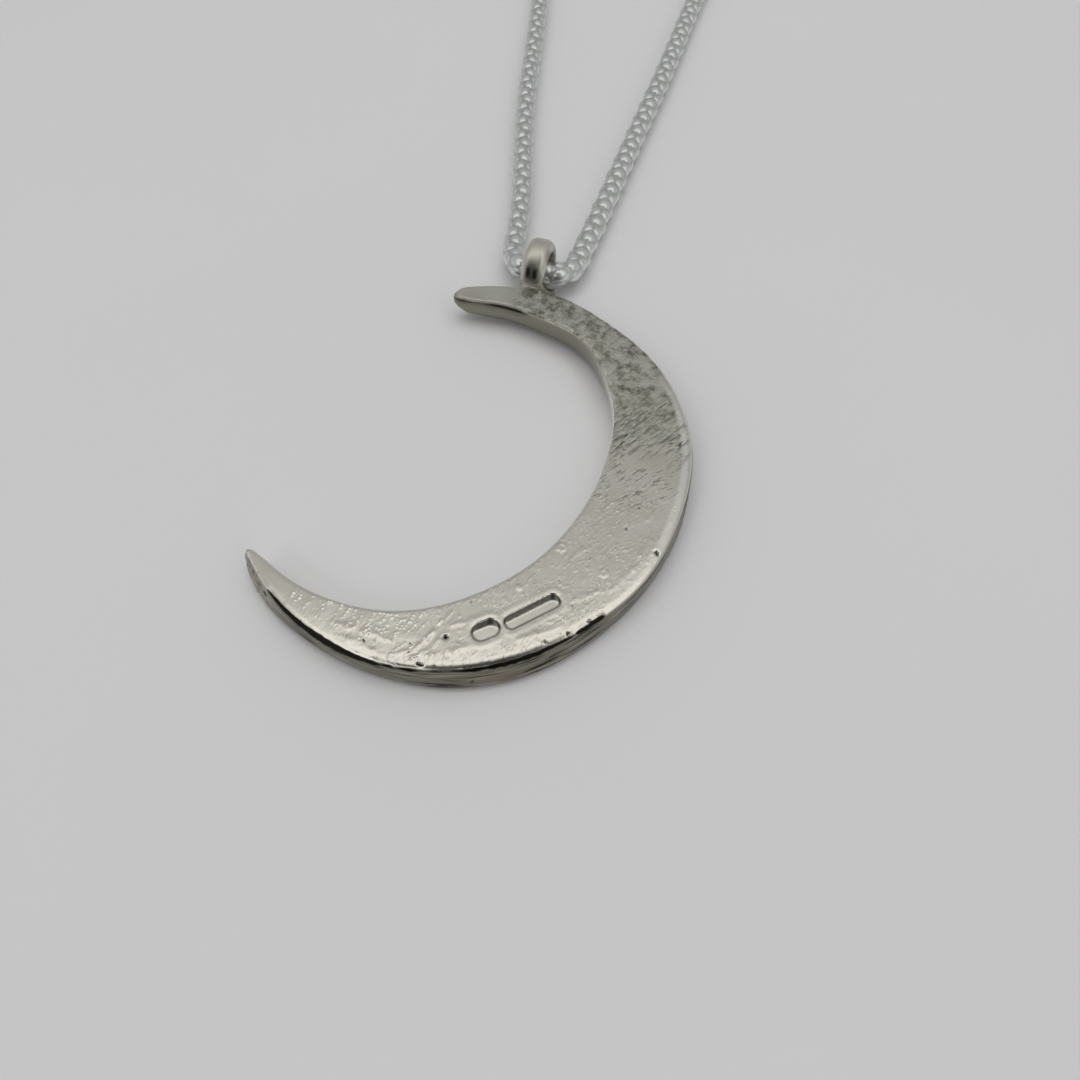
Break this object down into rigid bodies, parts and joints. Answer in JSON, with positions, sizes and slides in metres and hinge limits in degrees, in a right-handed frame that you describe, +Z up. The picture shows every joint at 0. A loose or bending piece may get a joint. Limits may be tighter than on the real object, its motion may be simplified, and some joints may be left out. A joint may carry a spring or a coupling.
{
  "type": "crescent moon pendant necklace",
  "caption": "Cast silver crescent moon with a bail ring on one edge, on a fine popcorn chain with end caps and a plain ring clasp, laid flat with its back up.",
  "frame": {"origin": "on the table, under the middle of the whole necklace", "axes": "+Z up from the table, +Y from the moon towards the clasp, +X to the right as seen in the picture"},
  "size_m": [0.0836, 0.2367, 0.0042],
  "materials": {
    "cast_silver": "worn satin cast silver",
    "chain_silver": "bright fine mesh",
    "fitting_silver": "polished"
  },
  "bodies": {
    "root": {"pendant": "cast_silver", "chain_left": "chain_silver", "chain_right": "chain_silver", "end_cap_left": "fitting_silver", "end_cap_right": "fitting_silver", "clasp": "fitting_silver"}
  },
  "joints": []
}
